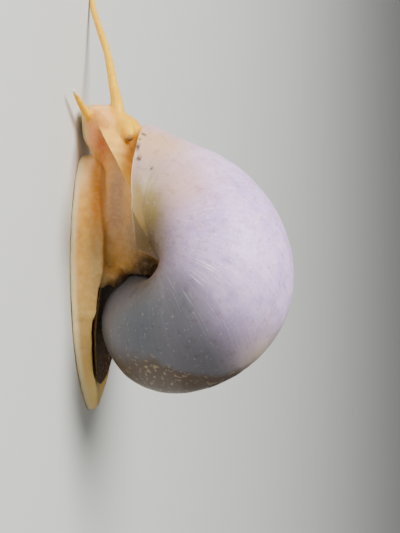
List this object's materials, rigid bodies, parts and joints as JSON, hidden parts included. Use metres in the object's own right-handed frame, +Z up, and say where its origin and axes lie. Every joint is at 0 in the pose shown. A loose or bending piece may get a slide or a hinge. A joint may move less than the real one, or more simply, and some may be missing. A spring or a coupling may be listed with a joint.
{
  "type": "apple snail",
  "caption": "Life-size still model of a crawling apple snail: round coiled shell, flat foot, operculum on the tail, long tentacles, short palps and eyes on stalks.",
  "frame": {"origin": "centre of the flat sole of the foot, on the floor", "axes": "+X forwards, the way the snail crawls; +Y to the animal's left; +Z up from the sole"},
  "size_m": [0.0822, 0.0515, 0.0355],
  "materials": {
    "shell": "satin, thin and slightly translucent",
    "operculum": "satin, horny",
    "flesh": "moist",
    "feeler": "moist, translucent",
    "eye": "glossy"
  },
  "bodies": {
    "root": {"shell": "shell", "operculum": "operculum", "head": "flesh", "neck": "flesh", "body_column": "flesh", "mantle": "flesh", "foot_front": "flesh", "foot_middle": "flesh", "foot_tail": "flesh", "siphon_flap": "flesh", "right_neck_lobe": "flesh", "left_tentacle_base": "feeler", "left_tentacle_middle": "feeler", "left_tentacle_tip": "feeler", "right_tentacle_base": "feeler", "right_tentacle_middle": "feeler", "right_tentacle_tip": "feeler", "left_palp": "feeler", "right_palp": "feeler", "left_eye_stalk": "feeler", "right_eye_stalk": "feeler", "left_eye": "eye", "right_eye": "eye"}
  },
  "joints": []
}
